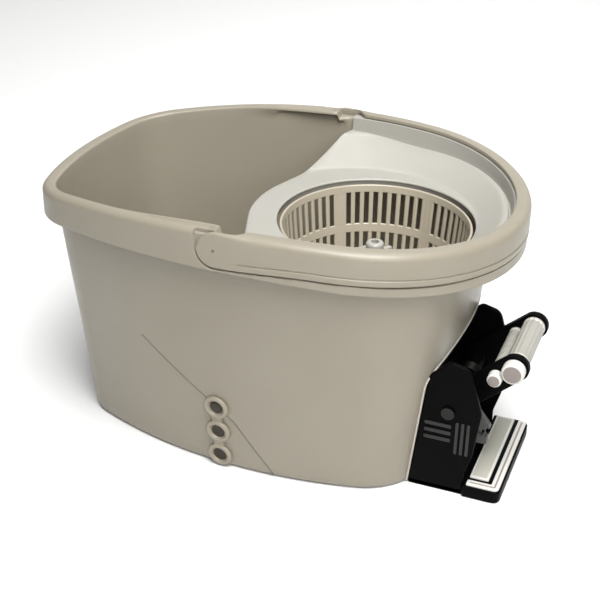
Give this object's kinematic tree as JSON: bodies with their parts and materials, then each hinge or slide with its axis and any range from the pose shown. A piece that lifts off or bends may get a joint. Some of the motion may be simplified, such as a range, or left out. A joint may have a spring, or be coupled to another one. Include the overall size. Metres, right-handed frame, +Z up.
{
  "type": "spin mop bucket",
  "caption": "Oval mop bucket with a pedal-driven wringing basket in a splash tray, a carrying bail on its rim, a drain stopper and a foot plate.",
  "frame": {"origin": "bottom centre of the whole bucket's box, on the ground", "axes": "+X to the basket and pedal end, +Y away from the drain side, +Z up"},
  "size_m": [0.5074, 0.344, 0.279],
  "materials": {
    "tub_plastic": "satin moulded polypropylene",
    "tray_plastic": "pale glossy polypropylene",
    "basket_plastic": "cream moulded polypropylene",
    "black_plastic": "fine-grained black",
    "gear_cover_plastic": "dark grey moulded",
    "grip_rubber": "pale grey ribbed rubber",
    "steel": "zinc plated",
    "gear_nylon": "natural nylon",
    "stopper_rubber": "beige rubber"
  },
  "bodies": {
    "root": {"bucket_tub": "tub_plastic", "splash_tray": "tray_plastic", "bail_pins": "gear_nylon", "upper_bush": "gear_nylon", "thrust_washer": "steel", "footstep_bush": "gear_nylon", "gear_cover": "gear_cover_plastic", "cover_screws": "steel", "idler_pin": "steel", "rack_guide": "gear_cover_plastic", "pedal_housing": "black_plastic", "housing_screws": "steel", "pedal_axle": "steel", "axle_nut": "steel", "return_spring": "steel", "step_plate": "black_plastic", "inner_step_pad": "grip_rubber", "outer_step_pad": "grip_rubber", "step_screws": "steel", "drain_strap": "stopper_rubber", "drain_rivet": "stopper_rubber"},
    "bail": {"bail_handle": "tub_plastic"},
    "basket": {"spin_basket": "basket_plastic", "mop_spigot": "tray_plastic", "drive_shaft": "steel", "ratchet_wheel": "gear_nylon"},
    "pedal": {"pedal_fork": "black_plastic", "outer_foot_bar": "steel", "inner_foot_bar": "steel", "outer_grip": "grip_rubber", "inner_grip": "grip_rubber", "outer_bar_cap": "grip_rubber", "inner_bar_cap": "grip_rubber", "sector_gear": "gear_nylon"},
    "rack": {"drive_rack": "gear_nylon"},
    "idler": {"idler_gear": "gear_nylon"},
    "clutch_gear": {"shaft_gear": "gear_nylon", "clutch_pawls": "gear_nylon"},
    "stopper": {"drain_stopper": "stopper_rubber"}
  },
  "joints": [
    {"name": "bail_swing", "type": "hinge", "parent": "root", "child": "bail", "pos_m": [-0.01775, 0, 0.26106], "axis": [0, -1, 0], "range_deg": [0, 95]},
    {"name": "basket_spin", "type": "hinge", "parent": "root", "child": "basket", "pos_m": [0.07825, 0, 0.141], "axis": [0, 0, 1], "continuous": true},
    {"name": "pedal_press", "type": "hinge", "parent": "root", "child": "pedal", "pos_m": [0.18625, 0, 0.09108], "axis": [0, 1, 0], "range_deg": [0, 28], "stiffness_Nm_per_rad": 1.5, "springref_deg": -22.92, "deforming": ["return_spring"]},
    {"name": "rack_slide", "type": "slide", "parent": "root", "child": "rack", "axis": [-1, 0, 0], "range_m": [0, 0.02493]},
    {"name": "idler_turn", "type": "hinge", "parent": "root", "child": "idler", "pos_m": [0.04425, -0.022, 0.0212], "axis": [0, 0, -1], "range_deg": [0, 158.72]},
    {"name": "clutch_gear_turn", "type": "hinge", "parent": "root", "child": "clutch_gear", "pos_m": [0.07825, 0, 0.0202], "axis": [0, 0, 1], "range_deg": [0, 453.38]},
    {"name": "stopper_swing", "type": "hinge", "parent": "root", "child": "stopper", "pos_m": [-0.03204, -0.14113, 0.05861], "axis": [-0.9978, 0.0666, 0], "range_deg": [0, 100]}
  ],
  "couplings": [
    {"joint": "rack_slide", "follows": "pedal_press", "m_per_rad": 0.051},
    {"joint": "idler_turn", "follows": "pedal_press", "ratio": 5.6667},
    {"joint": "clutch_gear_turn", "follows": "pedal_press", "ratio": 16.19}
  ]
}
